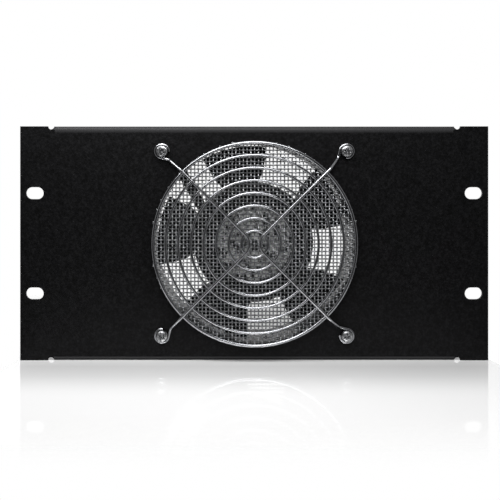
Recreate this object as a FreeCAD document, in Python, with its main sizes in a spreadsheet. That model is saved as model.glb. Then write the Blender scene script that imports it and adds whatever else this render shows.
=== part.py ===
import FreeCAD, Part
import math
import os
import re
import Sketcher
from FreeCAD import Placement, Rotation, Vector

# Rack fan panel, 3U high and half a rack wide: a bent steel front panel carries a wire finger
# guard with a woven screen behind it, and a 120 mm fan on the rear.  Millimetres.
# Frame: +Z up, the face looks along -Y, +X is to the viewer's right.  The origin is the centre
# of the rack slot pattern, in the plane of the ears' rear faces, and the fan turns about Y.

os.makedirs("parts", exist_ok=True)
doc = FreeCAD.newDocument("rack_fan_panel")

# ---------------------------------------------------------------- driving dimensions
SIZES = [
    # the bent panel
    ("panel_width", 266.7, "half of a 21 inch opening: 10.5 inch panel"),
    ("flange_room", 5.675, "fan to the bent flanges: makes the panel 133.35, the full 3U"),
    ("sheet", 1.5, "steel sheet thickness"),
    ("flange_width", 228.6, "length of the bent flanges"),
    ("flange_depth", 20.0, "how far the flanges reach back"),
    ("bend_outer", 2.2, "outer radius of the bends"),
    ("bend_inner", 0.7, "inner radius of the bends"),
    ("notch_radius", 1.75, "relief notch at each end of a bend"),
    ("notch_bite", 0.25, "how far the notch runs into the flange end"),
    ("slot_columns", 250.0, "distance between slot columns"),
    ("slot_rows", 57.15, "distance between slot rows"),
    ("slot_length", 10.0, "length of a rack slot"),
    ("slot_radius", 3.4, "half the height of a rack slot"),
    ("opening_radius", 57.0, "air opening in the panel"),
    # fasteners on the fan's bolt square
    ("bolt_square", 105.0, "side of the bolt square of a 120 mm fan"),
    ("hole_radius", 2.25, "screw clearance hole"),
    ("screw_radius", 2.0, "M4 screw shank"),
    ("screw_end", 9.6, "where the screw tip ends behind the panel"),
    ("head_radius", 3.4, "pan head"),
    ("head_height", 2.5, "pan head"),
    ("head_rim", 0.9, "straight side of the pan head"),
    ("head_flat", 1.53, "radius of the flat on the crown"),
    ("head_shoulder", 2.72, "radius where the crown turns down"),
    ("head_drop", 0.56, "flat to that shoulder"),
    ("tip_chamfer", 0.5, "chamfer of the screw tip"),
    ("recess_width", 0.9, "arm width of the cross recess"),
    ("recess_span", 3.8, "tip to tip of the cross recess"),
    ("recess_depth", 1.6, "depth of the cross recess"),
    ("nut_flats", 7.0, "M4 nut across flats"),
    ("nut_height", 3.2, "M4 nut"),
    ("washer_radius", 3.7, "spring washer"),
    ("washer_height", 0.9, "spring washer"),
    ("washer_split", 0.8, "cut in the spring washer"),
    ("washer_gap", 0.1, "clearance between screw and washer"),
    ("thread_gap", 0.03, "clearance between screw and nut"),
    # finger guard and screen
    ("guard_standoff", 7.0, "panel face to the middle of the spokes"),
    ("spoke_radius", 0.85, "spoke wire"),
    ("ring_wire", 0.75, "inner ring wire radius"),
    ("rim_wire", 1.0, "outer ring wire radius"),
    ("weld_bite", 0.1, "how far the welded wires sink into each other"),
    ("ring_count", 8, "rings in the guard"),
    ("ring_first", 7.6, "radius of the smallest ring"),
    ("ring_pitch", 7.1, "radius step from ring to ring"),
    ("spoke_fillet", 7.4, "bend where the two legs of a spoke meet"),
    ("spoke_straight", 60.0, "radius where a leg turns down to the panel"),
    ("spoke_bend", 3.0, "bend radius of the legs"),
    ("loop_radius", 3.75, "centreline of the loop round a screw"),
    ("loop_join", 121.0, "angle where the leg meets its loop"),
    ("loop_open", -140.0, "angle where the loop ends"),
    ("loop_lead", 5.0, "straight wire before the loop"),
    ("seat_gap", 0.05, "play between stacked loose pieces"),
    ("screen_radius", 58.8, "cut edge of the woven screen"),
    ("screen_pitch", 2.117, "12 mesh"),
    ("screen_wire", 0.3, "radius of the screen wire"),
    # fan frame
    ("fan_side", 119.0, "side of the fan frame"),
    ("fan_depth", 38.0, "depth of the fan frame"),
    ("fan_corner", 7.0, "corner radius of the fan flanges"),
    ("lug", 4.0, "thickness of the fan flanges"),
    ("duct_radius", 57.5, "bore of the duct"),
    ("duct_wall", 2.0, "wall of the duct"),
    ("duct_flare", 1.1, "widening at the mouth of the duct"),
    ("flare_depth", 5.0, "depth of the widening"),
    ("flange_inset", 0.3, "flanges end this far outside the mouth"),
    ("rib_width", 2.6, "corner ribs between the flanges"),
    ("rib_reach", 8.0, "how far a rib stands off the duct"),
    ("strut_count", 3, "struts that carry the motor"),
    ("strut_width", 6.0, "width of a strut"),
    ("strut_offset", 16.5, "distance of a strut from the axis"),
    ("strut_root", 1.1, "how far a strut runs into the duct wall"),
    ("base_radius", 35.0, "motor base"),
    ("base_rim", 2.0, "rim of the motor base"),
    ("base_floor", 2.1, "floor of the motor base"),
    ("base_boss", 2.6, "wall of the boss round the bearing tube"),
    ("boss_height", 5.5, "height of that boss"),
    ("label_recess", 0.4, "recess for the rear label"),
    ("label_rim", 5.0, "rim left round the rear label"),
    ("label_thickness", 0.2, "foil label"),
    ("label_gap", 0.3, "gap round the rear label"),
    ("notch_room", 0.5, "space round the leads where they pass the duct wall"),
    ("notch_start", 5.0, "the leads' notch starts this far outside the base"),
    # bearings and shaft
    ("shaft_radius", 2.0, "motor shaft"),
    ("shaft_end", 35.2, "rear end of the shaft"),
    ("shaft_chamfer", 0.4, "chamfer of the shaft's rear end"),
    ("bearing_radius", 6.0, "604 ball bearing"),
    ("bearing_width", 4.0, "604 ball bearing"),
    ("bearing_front", 11.0, "front face of the front bearing"),
    ("bearing_rear", 29.0, "front face of the rear bearing"),
    ("race_inner", 3.15, "shoulder of the inner race"),
    ("race_outer", 4.85, "shoulder of the outer race"),
    ("ball_radius", 1.15, "bearing ball"),
    ("ball_count", 7, "balls in a bearing"),
    ("ball_gap", 0.03, "play round a ball"),
    ("cage_ring", 0.42, "half thickness of the ball cage"),
    ("cage_back", 1.6, "ball cage behind the ball centres"),
    ("cage_front", 0.6, "ball cage in front of the ball centres"),
    ("tube_wall", 2.0, "wall of the bearing tube"),
    ("tube_front", 10.5, "front end of the bearing tube"),
    ("tube_shoulder", 12.2, "length of the shoulder between the seats"),
    ("shoulder_radius", 4.9, "bore of that shoulder"),
    ("spring_sheet", 0.4, "thickness of the curved preload washer"),
    ("shaft_gap", 0.05, "running clearance on the shaft"),
    ("clip_height", 0.5, "retaining clip"),
    ("clip_radius", 3.3, "retaining clip"),
    ("clip_groove", 0.35, "depth of the groove for the clip"),
    ("clip_mouth", 2.4, "opening of the clip"),
    # stator
    ("core_front", 13.0, "front face of the stator core"),
    ("core_length", 14.0, "stack length of the stator and rotor cores"),
    ("core_radius", 25.0, "stator core"),
    ("pole_count", 4, "poles of the stator"),
    ("pole_depth", 3.0, "radial thickness of a pole shoe"),
    ("pole_angle", 72.0, "angle that a pole shoe covers"),
    ("arm_width", 8.0, "width of a pole arm"),
    ("hub_wall", 3.0, "ring of the core round the bearing tube"),
    ("insulator", 0.8, "thickness of the end insulators"),
    ("coil_start", 11.5, "inner end of a coil"),
    ("coil_length", 8.3, "radial length of a coil"),
    ("coil_thickness", 4.2, "wound thickness at the sides"),
    ("coil_overhang", 3.4, "coil in front of and behind the core"),
    ("coil_round", 2.4, "rounding of a coil"),
    # rotor and impeller
    ("air_gap", 0.5, "stator to rotor core"),
    ("rotor_wall", 5.0, "radial thickness of the rotor core"),
    ("bar_count", 24, "bars of the cast cage"),
    ("bar_radius", 0.8, "bar of the cast cage"),
    ("end_ring", 2.0, "end rings of the cast cage"),
    ("ring_inset", 0.4, "end rings inside the core's edges"),
    ("cup_wall", 1.5, "drawn rotor cup"),
    ("cup_front", 5.5, "front face of the rotor cup"),
    ("cup_length", 24.3, "length of the rotor cup"),
    ("cup_boss", 1.3, "wall of the boss that grips the shaft"),
    ("thrust_thickness", 0.45, "thrust washers beside the bearings"),
    ("cup_round", 2.0, "rounding of the cup's front edge"),
    ("badge_radius", 22.0, "bare foil disc on the rotor"),
    ("badge_gap", 0.5, "gap between the foil disc and the hub"),
    ("hub_wall_thickness", 2.5, "wall of the impeller hub"),
    ("hub_front", 3.5, "front face of the impeller hub"),
    ("hub_length", 27.0, "length of the impeller hub"),
    ("hub_round", 2.2, "rounding of the hub's front edge"),
    ("blade_count", 5, "blades"),
    ("blade_tip", 56.2, "blade tip radius"),
    ("blade_front", 5.6, "front edges of the blades"),
    ("blade_depth", 24.6, "blade depth along the axis"),
    ("blade_angle", 34.0, "angle that a blade covers"),
    ("blade_turn", 29.0, "rest position of the first blade"),
    ("blade_root", 2.6, "blade thickness at the hub"),
    ("blade_edge", 1.4, "blade thickness at the tip"),
    ("blade_camber", 2.6, "bow of a blade"),
    ("blade_start", 4.0, "a blade's loft starts this far inside the hub's surface"),
    ("blade_overrun", 1.0, "and ends this far outside the tip"),
    ("blade_sunk", 1.0, "what is left of a blade inside the hub's wall"),
    ("blade_margin", 5.0, "trimming sleeve in front of and behind the blades"),
    # terminals
    ("lead_radius", 0.7, "insulated lead"),
    ("lead_spacing", 1.9, "distance between the leads"),
    ("lead_start", 12.0, "where the leads leave the coil"),
    ("lead_bend", 1.4, "bend radius of the leads"),
    ("block_width", 17.0, "terminal block along Z"),
    ("block_depth", 9.0, "terminal block along Y"),
    ("block_reach", 2.6, "terminal block beyond the fan's side"),
    ("block_inset", 4.0, "terminal block inside the duct's radius, before the duct is cut from it"),
    ("tab_width", 2.8, "terminal tab"),
    ("tab_thickness", 0.5, "terminal tab"),
    ("tab_length", 7.0, "terminal tab"),
    ("tab_spacing", 7.0, "distance between the tabs"),
]

sheet = doc.addObject("Spreadsheet::Sheet", "Sizes")
for row, (alias, number, note) in enumerate(SIZES, start=1):
    sheet.set(f"A{row}", note)
    sheet.set(f"B{row}", str(number))
    sheet.setAlias(f"B{row}", alias)
doc.recompute()
ALIASES = sorted((alias for alias, number, note in SIZES), key=len, reverse=True)
ALIAS_WORD = re.compile(r"\b(" + "|".join(ALIASES) + r")\b")


def bound(text):
    """An expression on the sheet: every alias gets the sheet's name in front."""
    return ALIAS_WORD.sub(r"Sizes.\1", str(text))


def size(text):
    """The number that an expression on the sheet has now."""
    number = sheet.evalExpression(bound(text))
    return float(getattr(number, "Value", number))


def count(alias):
    return int(round(size(alias)))


# ---------------------------------------------------------------- sketch helpers
def new_body(name):
    part = doc.addObject("PartDesign::Body", name)
    part.Label = name
    return part


def origin_feature(part, role):
    return next(item for item in part.Origin.OriginFeatures if item.Role == role)


def new_sketch(part, name, plane, at="0"):
    """A sketch on an origin plane, moved along the plane's normal by an expression."""
    flat = part.newObject("Sketcher::SketchObject", f"{part.Name}_{name}")
    flat.AttachmentSupport = [(origin_feature(part, plane), "")]
    flat.MapMode = "FlatFace"
    flat.setExpression("AttachmentOffset.Base.z", bound(at))
    return flat


def pin_point(flat, geometry, point, across, up):
    """Tie a point of the sketch to two expressions."""
    for kind, text, axis in (("DistanceX", across, -2), ("DistanceY", up, -1)):
        number = size(text)
        if abs(number) < 1e-9:
            flat.addConstraint(Sketcher.Constraint("PointOnObject", geometry, point, axis))
        else:
            rule = Sketcher.Constraint(kind, -1, 1, geometry, point, number)
            flat.setExpression(f"Constraints[{flat.addConstraint(rule)}]", bound(text))


def outline(flat, corners):
    """A closed run of straight lines through corners given as expressions."""
    spots = [Vector(size(across), size(up), 0) for across, up in corners]
    first = flat.GeometryCount
    total = len(spots)
    for index in range(total):
        flat.addGeometry(Part.LineSegment(spots[index], spots[(index + 1) % total]), False)
    for index in range(total):
        after = first + (index + 1) % total
        flat.addConstraint(Sketcher.Constraint("Coincident", first + index, 2, after, 1))
    for index, (across, up) in enumerate(corners):
        pin_point(flat, first + index, 1, across, up)


def rectangle(flat, left, right, low, high):
    outline(flat, [(left, low), (right, low), (right, high), (left, high)])


def circle(flat, across, up, radius):
    middle = Vector(size(across), size(up), 0)
    index = flat.addGeometry(Part.Circle(middle, Vector(0, 0, 1), size(radius)), False)
    rule = flat.addConstraint(Sketcher.Constraint("Radius", index, size(radius)))
    flat.setExpression(f"Constraints[{rule}]", bound(radius))
    pin_point(flat, index, 3, across, up)


def slot(flat, across, up, length, radius):
    """A round-ended slot along the sketch's x axis."""
    x, y, r = size(across), size(up), size(radius)
    half = size(f"({length}) / 2 - ({radius})")
    up_axis = Vector(0, 0, 1)
    ends = []
    for side, start, stop in ((-1, 90, 270), (1, -90, 90)):
        round_end = Part.Circle(Vector(x + side * half, y, 0), up_axis, r)
        arc = Part.ArcOfCircle(round_end, math.radians(start), math.radians(stop))
        ends.append(flat.addGeometry(arc, False))
    low = flat.addGeometry(Part.LineSegment(Vector(x - half, y - r, 0), Vector(x + half, y - r, 0)))
    top = flat.addGeometry(Part.LineSegment(Vector(x + half, y + r, 0), Vector(x - half, y + r, 0)))
    left, right = ends
    for one, other in ((left, low), (low, right), (right, top), (top, left)):
        flat.addConstraint(Sketcher.Constraint("Tangent", one, 2, other, 1))
    flat.addConstraint(Sketcher.Constraint("Equal", left, right))
    rule = flat.addConstraint(Sketcher.Constraint("Radius", left, r))
    flat.setExpression(f"Constraints[{rule}]", bound(radius))
    reach = f"(({length}) / 2 - ({radius}))"
    pin_point(flat, left, 3, f"{across} - {reach}", up)
    pin_point(flat, right, 3, f"{across} + {reach}", up)


# ---------------------------------------------------------------- feature helpers
def add_feature(part, kind, name, **values):
    feature = part.newObject(kind, f"{part.Name}_{name}")
    for key, value in values.items():
        if isinstance(value, str) and key in ("Length", "Angle", "Radius", "Size"):
            feature.setExpression(key, bound(value))
        else:
            setattr(feature, key, value)
    doc.recompute()
    return feature


def pad(part, name, flat, length, **more):
    return add_feature(part, "PartDesign::Pad", name, Profile=flat, Length=length, **more)


def cut_through(part, name, flat):
    return add_feature(part, "PartDesign::Pocket", name, Profile=flat, Type="ThroughAll", Midplane=True)


def revolve(part, name, flat, **more):
    """Turn a sketch of radius against depth about the fan's axis."""
    axis = (flat, ["V_Axis"])
    return add_feature(part, "PartDesign::Revolution", name, Profile=flat, ReferenceAxis=axis, **more)


def polar(part, name, originals, copies):
    """Repeat features round the fan's axis."""
    pattern = part.newObject("PartDesign::PolarPattern", f"{part.Name}_{name}")
    pattern.Originals = originals
    pattern.Axis = (origin_feature(part, "Y_Axis"), [""])
    pattern.Angle = 360
    pattern.setExpression("Occurrences", bound(copies))
    part.Tip = pattern
    doc.recompute()
    return pattern


def matching_edges(feature, test):
    return [f"Edge{n}" for n, edge in enumerate(feature.Shape.Edges, start=1) if test(edge)]


def fillet(part, name, feature, test, radius):
    edges = matching_edges(feature, test)
    if not edges:
        raise RuntimeError(f"{part.Name}: no edges for {name}")
    return add_feature(part, "PartDesign::Fillet", name, Base=(feature, edges), Radius=radius)


def near(one, other, slack=1e-4):
    return abs(one - other) < slack


def turned(name, profile, **more):
    """A turned piece: corners are (radius, depth) expressions."""
    part = new_body(name)
    flat = new_sketch(part, "profile", "XY_Plane")
    outline(flat, profile)
    revolve(part, "turned", flat, **more)
    return part


def group(name, members):
    joined = doc.addObject("Part::Compound", name)
    joined.Label = name
    joined.Links = members
    return joined


def placed_copies(name, source, spots, turn=0.0):
    """Links to one piece, each moved to its (x, z) expressions, kept as one node."""
    copies = []
    for index, (across, up) in enumerate(spots, start=1):
        link = doc.addObject("App::Link", f"{name}_{index}")
        link.LinkedObject = source
        link.Placement = Placement(Vector(0, 0, 0), Rotation(Vector(0, 1, 0), turn * index))
        link.setExpression("Placement.Base.x", bound(across))
        link.setExpression("Placement.Base.z", bound(up))
        copies.append(link)
    return group(name, copies)


def shaped(name, shape, place=None):
    """A piece made by Part's own functions."""
    item = doc.addObject("Part::Feature", name)
    item.Label = name
    item.Shape = shape
    item.Placement = place or Placement()
    return item


def turn_about_axis(angle):
    """Seen from the front, a positive angle turns anticlockwise."""
    return Placement(Vector(0, 0, 0), Rotation(Vector(0, 1, 0), -angle))


BOLT_SIGNS = (("", ""), ("-", ""), ("-", "-"), ("", "-"))
BOLTS = [(f"{x}bolt_square / 2", f"{z}bolt_square / 2") for x, z in BOLT_SIGNS]


# ---------------------------------------------------------------- front panel
def make_front_panel():
    part = new_body("front_panel")
    side = new_sketch(part, "side", "YZ_Plane")
    inside = "(fan_side / 2 + flange_room)"
    top = "(fan_side / 2 + flange_room + sheet)"
    outline(side, [
        ("-sheet", f"-{top}"), ("flange_depth", f"-{top}"),
        ("flange_depth", f"-{inside}"), ("0", f"-{inside}"),
        ("0", inside), ("flange_depth", inside),
        ("flange_depth", top), ("-sheet", top)])
    channel = pad(part, "channel", side, "flange_width", Midplane=True)
    face, inner_z, length = -size("sheet"), size(inside), size("flange_width")

    def outer(edge):
        return near(edge.Length, length) and near(edge.BoundBox.YMin, face)

    def inner(edge):
        box = edge.BoundBox
        return near(edge.Length, length) and near(box.YMax, 0) and near(abs(box.ZMin), inner_z)

    bends = fillet(part, "outer_bends", channel, outer, "bend_outer")
    fillet(part, "inner_bends", bends, inner, "bend_inner")
    ears = new_sketch(part, "ears", "XZ_Plane")
    rectangle(ears, "-panel_width / 2", "-flange_width / 2", f"-{top}", top)
    rectangle(ears, "flange_width / 2", "panel_width / 2", f"-{top}", top)
    pad(part, "ears", ears, "sheet")
    notches = new_sketch(part, "notches", "XZ_Plane")
    notch_x = "(flange_width / 2 + notch_radius - notch_bite)"
    for x in ("", "-"):
        for z in ("", "-"):
            circle(notches, f"{x}{notch_x}", f"{z}{top}", "notch_radius")
    add_feature(part, "PartDesign::Pocket", "notches", Profile=notches, Length="sheet", Reversed=True)
    cuts = new_sketch(part, "cuts", "XZ_Plane")
    circle(cuts, "0", "0", "opening_radius")
    for across, up in BOLTS:
        circle(cuts, across, up, "hole_radius")
    for x in ("", "-"):
        for z in ("", "-"):
            slot(cuts, f"{x}slot_columns / 2", f"{z}slot_rows / 2", "slot_length", "slot_radius")
    cut_through(part, "cuts", cuts)
    return part


# ---------------------------------------------------------------- finger guard
SPOKE_Y = "(-sheet - guard_standoff)"
RIM_Y = f"({SPOKE_Y} + spoke_radius + rim_wire - weld_bite)"
RING_Y = f"({SPOKE_Y} + spoke_radius + ring_wire - weld_bite)"
LOOP_Y = "(-sheet - spoke_radius - seat_gap)"
HEAD_Y = "(-sheet - 2 * spoke_radius - 2 * seat_gap)"


def make_guard_rings():
    rings = []
    last = count("ring_count") - 1
    for index in range(last + 1):
        ring = doc.addObject("Part::Torus", f"guard_ring_{index + 1}")
        ring.setExpression("Radius1", bound(f"ring_first + {index} * ring_pitch"))
        ring.setExpression("Radius2", bound("rim_wire" if index == last else "ring_wire"))
        ring.Placement = Placement(Vector(0, 0, 0), Rotation(Vector(1, 0, 0), 90))
        ring.setExpression("Placement.Base.y", bound(RIM_Y if index == last else RING_Y))
        rings.append(ring)
    return group("guard_rings", rings)


def rounded_run(points, radii):
    """Straight runs through points, joined at the inner points by tangent arcs."""
    edges = []
    start = points[0]
    for index in range(1, len(points) - 1):
        corner = points[index]
        back = (points[index - 1] - corner).normalize()
        ahead = (points[index + 1] - corner).normalize()
        half = back.getAngle(ahead) / 2
        trim = radii[index - 1] / math.tan(half)
        middle = (back + ahead).normalize()
        reach = radii[index - 1] / math.sin(half) - radii[index - 1]
        enter, leave = corner + back * trim, corner + ahead * trim
        edges.append(Part.LineSegment(start, enter).toShape())
        edges.append(Part.Arc(enter, corner + middle * reach, leave).toShape())
        start = leave
    edges.append(Part.LineSegment(start, points[-1]).toShape())
    return edges


def wire_along(edges, radius):
    """A round wire swept along joined edges."""
    path = Part.Wire(edges)
    first = edges[0]
    start = first.valueAt(first.FirstParameter)
    heading = first.tangentAt(first.FirstParameter)
    section = Part.Wire(Part.Circle(start, heading, radius).toShape())
    return path.makePipeShell([section], True, True)


def make_spoke(name, corners):
    """One guard wire: loop, leg, bend at the middle, leg, loop."""
    spoke_y, loop_y = size(SPOKE_Y), size(LOOP_Y)
    radius, bend = size("loop_radius"), size("spoke_bend")
    screw = size("bolt_square") / math.sqrt(2)
    join, loose = math.radians(size("loop_join")), math.radians(size("loop_open"))

    def local(angle, u, v, y):
        turn = math.radians(angle)
        x = u * math.cos(turn) - v * math.sin(turn)
        z = u * math.sin(turn) + v * math.cos(turn)
        return Vector(x, y, z)

    def on_loop(angle, phi):
        return local(angle, screw + radius * math.cos(phi), radius * math.sin(phi), loop_y)

    first, second = corners
    points = []
    for angle in (first, second):
        touch = (screw + radius * math.cos(join), radius * math.sin(join))
        lead = size("loop_lead")
        foot = (touch[0] - lead * math.sin(join), touch[1] + lead * math.cos(join))
        points.append([
            local(angle, *touch, loop_y), local(angle, *foot, loop_y),
            local(angle, size("spoke_straight"), 0, spoke_y)])
    run = points[0] + [Vector(0, spoke_y, 0)] + points[1][::-1]
    radii = [bend, bend, size("spoke_fillet"), bend, bend]
    middle = (join + loose) / 2
    start_loop = Part.Arc(on_loop(first, loose), on_loop(first, middle), on_loop(first, join))
    end_loop = Part.Arc(on_loop(second, join), on_loop(second, middle), on_loop(second, loose))
    edges = [start_loop.toShape()] + rounded_run(run, radii) + [end_loop.toShape()]
    return shaped(name, wire_along(edges, size("spoke_radius")))


# ---------------------------------------------------------------- woven screen
WARP_Y = f"({RIM_Y} + rim_wire + seat_gap + screen_wire)"
WEFT_Y = f"({WARP_Y} + 2 * screen_wire)"


def make_screen_wires(name, depth, along, across):
    """The parallel wires of one direction, cut off at the screen's round edge."""
    radius, pitch, y = size("screen_radius"), size("screen_pitch"), size(depth)
    steps = int(radius / pitch)
    wires = []
    for step in range(-steps, steps + 1):
        offset = step * pitch
        half = math.sqrt(radius ** 2 - offset ** 2)
        start = across * offset - along * half + Vector(0, y, 0)
        wires.append(Part.makeCylinder(size("screen_wire"), 2 * half, start, along))
    return shaped(name, Part.makeCompound(wires))


# ---------------------------------------------------------------- fasteners
def make_guard_screws():
    part = new_body("guard_screw")
    flat = new_sketch(part, "profile", "XY_Plane")
    crown = f"{HEAD_Y} - head_height"
    outline(flat, [
        ("0", "screw_end"), ("0", crown), ("head_flat", crown),
        ("head_shoulder", f"{crown} + head_drop"),
        ("head_radius", f"{HEAD_Y} - head_rim"), ("head_radius", HEAD_Y),
        ("screw_radius", HEAD_Y), ("screw_radius", "screw_end - tip_chamfer"),
        ("screw_radius - tip_chamfer", "screw_end")])
    revolve(part, "turned", flat)
    cross = new_sketch(part, "recess", "XZ_Plane", f"-({crown})")
    arm, tip = "recess_width / 2", "recess_span / 2"
    outline(cross, [
        (arm, arm), (tip, arm), (tip, f"-{arm}"), (arm, f"-{arm}"),
        (arm, f"-{tip}"), (f"-{arm}", f"-{tip}"), (f"-{arm}", f"-{arm}"), (f"-{tip}", f"-{arm}"),
        (f"-{tip}", arm), (f"-{arm}", arm), (f"-{arm}", tip), (arm, tip)])
    add_feature(part, "PartDesign::Pocket", "recess", Profile=cross, Length="recess_depth")
    return placed_copies("guard_screws", part, BOLTS, 22.0)


def make_spring_washers():
    part = new_body("spring_washer")
    flat = new_sketch(part, "profile", "XY_Plane")
    seat = "lug + seat_gap"
    rectangle(flat, "screw_radius + washer_gap", "washer_radius", seat, f"{seat} + washer_height")
    revolve(part, "turned", flat)
    cut = new_sketch(part, "split", "XZ_Plane")
    rectangle(cut, "-washer_split / 2", "washer_split / 2", "0", "2 * washer_radius")
    cut_through(part, "split", cut)
    return placed_copies("spring_washers", part, BOLTS, 90.0)


def make_guard_nuts():
    part = new_body("guard_nut")
    face = "lug + 2 * seat_gap + washer_height"
    flat = new_sketch(part, "hexagon", "XZ_Plane", f"-({face} + nut_height)")
    across, half = "nut_flats / 2", "nut_flats / 2 / cos(30) / 2"
    outline(flat, [
        (across, half), ("0", f"2 * ({half})"), (f"-{across}", half),
        (f"-{across}", f"-({half})"), ("0", f"-2 * ({half})"), (across, f"-({half})")])
    circle(flat, "0", "0", "screw_radius + thread_gap")
    pad(part, "hexagon", flat, "nut_height")
    return placed_copies("guard_nuts", part, BOLTS, 17.0)


# ---------------------------------------------------------------- fan frame
FLANGE_Y = "(fan_depth - lug)"
STRUT_END = "(sqrt(duct_radius ^ 2 - (strut_offset - strut_width / 2) ^ 2) + strut_root)"
TUBE_RADIUS = "(bearing_radius + tube_wall)"
NOTCH_FRONT = f"({FLANGE_Y} - 2 * lead_radius - notch_room)"


def make_fan_frame():
    part = new_body("fan_frame")
    duct = new_sketch(part, "duct", "XY_Plane")
    outside = "duct_radius + duct_wall"
    outline(duct, [
        (outside, "0"), (outside, "fan_depth"), ("duct_radius", "fan_depth"),
        ("duct_radius", "flare_depth"), ("duct_radius + duct_flare", "0")])
    revolve(part, "duct", duct)
    half = "fan_side / 2"
    flange = None
    for name, rear in (("front_flange", "lug"), ("rear_flange", "fan_depth")):
        flat = new_sketch(part, name, "XZ_Plane", f"-({rear})")
        rectangle(flat, f"-{half}", half, f"-{half}", half)
        circle(flat, "0", "0", "duct_radius + duct_flare + flange_inset")
        flange = pad(part, name, flat, "lug")
    corner = size(half)

    def is_corner(edge):
        box = edge.BoundBox
        spot = near(abs(box.XMin), corner) and near(abs(box.ZMin), corner)
        return spot and near(edge.Length, size("lug"))

    fillet(part, "corners", flange, is_corner, "fan_corner")
    rib = new_sketch(part, "rib", "XZ_Plane", f"-{FLANGE_Y}")
    near_end, far_end = "(duct_radius + duct_wall / 2)", "(duct_radius + duct_wall + rib_reach)"
    slant = "sqrt(0.5)"
    outline(rib, [
        (f"({near_end} + rib_width / 2) * {slant}", f"({near_end} - rib_width / 2) * {slant}"),
        (f"({far_end} + rib_width / 2) * {slant}", f"({far_end} - rib_width / 2) * {slant}"),
        (f"({far_end} - rib_width / 2) * {slant}", f"({far_end} + rib_width / 2) * {slant}"),
        (f"({near_end} - rib_width / 2) * {slant}", f"({near_end} + rib_width / 2) * {slant}")])
    one_rib = pad(part, "rib", rib, f"{FLANGE_Y} - lug")
    polar(part, "ribs", [one_rib], "4")
    base = new_sketch(part, "base", "XY_Plane")
    floor_front = "(fan_depth - label_recess - base_floor)"
    outline(base, [
        (TUBE_RADIUS, f"{floor_front} - boss_height"),
        (f"{TUBE_RADIUS} + base_boss", f"{floor_front} - boss_height"),
        (f"{TUBE_RADIUS} + base_boss", floor_front), ("base_radius - base_rim", floor_front),
        ("base_radius - base_rim", FLANGE_Y), ("base_radius", FLANGE_Y), ("base_radius", "fan_depth"),
        ("base_radius - label_rim", "fan_depth"), ("base_radius - label_rim", "fan_depth - label_recess"),
        (TUBE_RADIUS, "fan_depth - label_recess")])
    strut = new_sketch(part, "strut", "XZ_Plane", "-fan_depth")
    rectangle(strut, "base_radius - base_rim * 2", STRUT_END,
              "strut_offset - strut_width / 2", "strut_offset + strut_width / 2")
    one_strut = pad(part, "strut", strut, "lug")
    polar(part, "struts", [one_strut], "strut_count")
    revolve(part, "base", base)
    holes = new_sketch(part, "holes", "XZ_Plane")
    for across, up in BOLTS:
        circle(holes, across, up, "hole_radius")
    cut_through(part, "holes", holes)
    notch = new_sketch(part, "lead_notch", "YZ_Plane", "base_radius + notch_start")
    spread = "lead_spacing / 2 + lead_radius + notch_room"
    rectangle(notch, NOTCH_FRONT, FLANGE_Y, f"strut_offset - ({spread})", f"strut_offset + ({spread})")
    add_feature(part, "PartDesign::Pocket", "lead_notch", Profile=notch, Length="duct_radius", Reversed=True)
    return part


def make_bearing_tube():
    seat_end = "(bearing_front + bearing_width)"
    back = "fan_depth - label_recess"
    return turned("bearing_tube", [
        ("bearing_radius", "tube_front"), (TUBE_RADIUS, "tube_front"), (TUBE_RADIUS, back),
        ("bearing_radius", back), ("bearing_radius", f"{seat_end} + tube_shoulder"),
        ("shoulder_radius", f"{seat_end} + tube_shoulder"), ("shoulder_radius", seat_end),
        ("bearing_radius", seat_end)])


def make_rear_label():
    rear = "fan_depth - label_recess"
    edge = "base_radius - label_rim - label_gap"
    return turned("rear_label", [
        ("0", rear), (edge, rear), (edge, f"{rear} + label_thickness"), ("0", f"{rear} + label_thickness")])


# ---------------------------------------------------------------- ball bearings
def make_race(name, front, low, high):
    """One race: a plain ring with a round groove for the balls."""
    rear = f"{front} + bearing_width"
    part = turned(name, [(low, front), (high, front), (high, rear), (low, rear)])
    groove = new_sketch(part, "groove", "XY_Plane")
    circle(groove, "(race_inner + race_outer) / 2", f"{front} + bearing_width / 2", "ball_radius + ball_gap")
    before = part.Shape.Volume
    add_feature(part, "PartDesign::Groove", "groove", Profile=groove, ReferenceAxis=(groove, ["V_Axis"]))
    if part.Shape.Volume >= before:
        raise RuntimeError(f"{name}: the ball groove cut nothing")
    return part


def ball_spots(front):
    pitch = size("(race_inner + race_outer) / 2")
    middle = size(f"{front} + bearing_width / 2")
    total = count("ball_count")
    quarter = 0.25  # of a step: keeps the balls off the seams of the turned pieces
    turns = [2 * math.pi * (index + quarter) / total for index in range(total)]
    return [Vector(pitch * math.cos(turn), middle, pitch * math.sin(turn)) for turn in turns]


def make_balls(name, front):
    balls = [Part.makeSphere(size("ball_radius"), spot) for spot in ball_spots(front)]
    return shaped(name, Part.makeCompound(balls))


def make_ball_cage(name, front):
    """A crown cage: a ring with open pockets for the balls."""
    pitch = size("(race_inner + race_outer) / 2")
    middle = size(f"{front} + bearing_width / 2")
    back, ahead, half = size("cage_back"), size("cage_front"), size("cage_ring")
    base = Vector(0, middle - ahead, 0)
    outer = Part.makeCylinder(pitch + half, ahead + back, base, Vector(0, 1, 0))
    ring = outer.cut(Part.makeCylinder(pitch - half, ahead + back, base, Vector(0, 1, 0)))
    for spot in ball_spots(front):
        ring = ring.cut(Part.makeSphere(size("ball_radius + ball_gap"), spot, Vector(0, 1, 0)))
    return shaped(name, ring)


def cylinder(name, radius, height, turn, **spot):
    item = doc.addObject("Part::Cylinder", name)
    item.setExpression("Radius", bound(radius))
    item.setExpression("Height", bound(height))
    item.Placement = Placement(Vector(0, 0, 0), turn)
    for key, text in spot.items():
        item.setExpression(f"Placement.Base.{key}", bound(text))
    return item


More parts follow.
